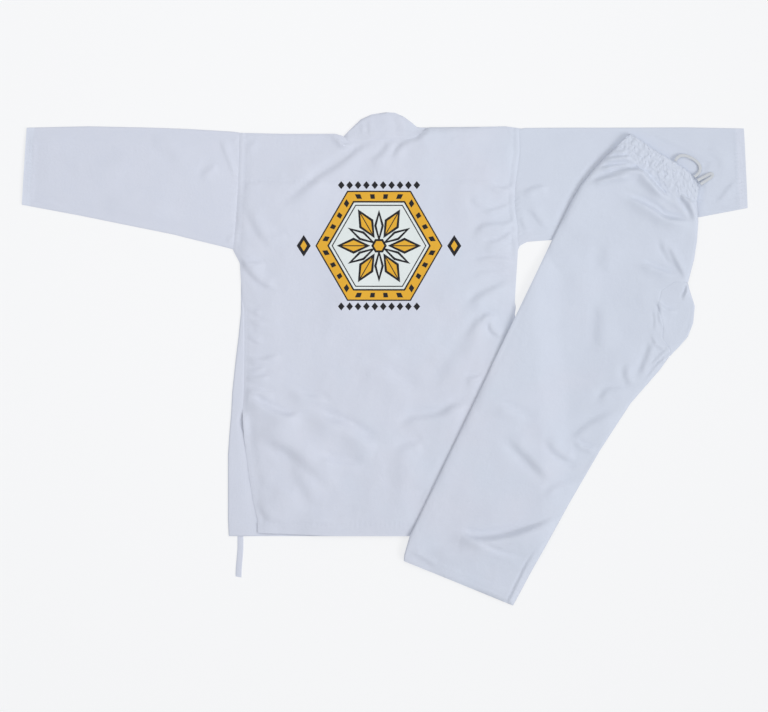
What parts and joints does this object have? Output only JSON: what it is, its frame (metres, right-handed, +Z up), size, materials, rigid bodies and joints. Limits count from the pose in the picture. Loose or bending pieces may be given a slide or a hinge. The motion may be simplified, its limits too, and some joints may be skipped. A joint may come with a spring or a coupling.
{
  "type": "martial arts uniform",
  "caption": "White martial arts jacket lying face down with its sleeves spread, and matching drawstring trousers folded lengthwise over one side.",
  "frame": {"origin": "centre of the laid-out uniform's box, on the surface that it lies on", "axes": "+X along the spread sleeves to the wearer's right cuff, +Y from the hem to the collar, +Z up from the surface, out of the jacket's back"},
  "size_m": [1.342, 0.9121, 0.0223],
  "materials": {
    "white_cloth": "matt plain-weave cotton and polyester",
    "cream_cord": "matt flat braid"
  },
  "bodies": {
    "root": {"jacket_front_left": "white_cloth", "jacket_front_right": "white_cloth", "lapel_left": "white_cloth", "lapel_right": "white_cloth", "jacket_back": "white_cloth", "collar_back": "white_cloth", "sleeve_left": "white_cloth", "sleeve_right": "white_cloth", "jacket_tie": "white_cloth", "trouser_leg_left": "white_cloth", "trouser_leg_right": "white_cloth", "trouser_gusset": "white_cloth", "waistband": "white_cloth", "drawstring": "cream_cord", "drawstring_end": "cream_cord"}
  },
  "joints": []
}
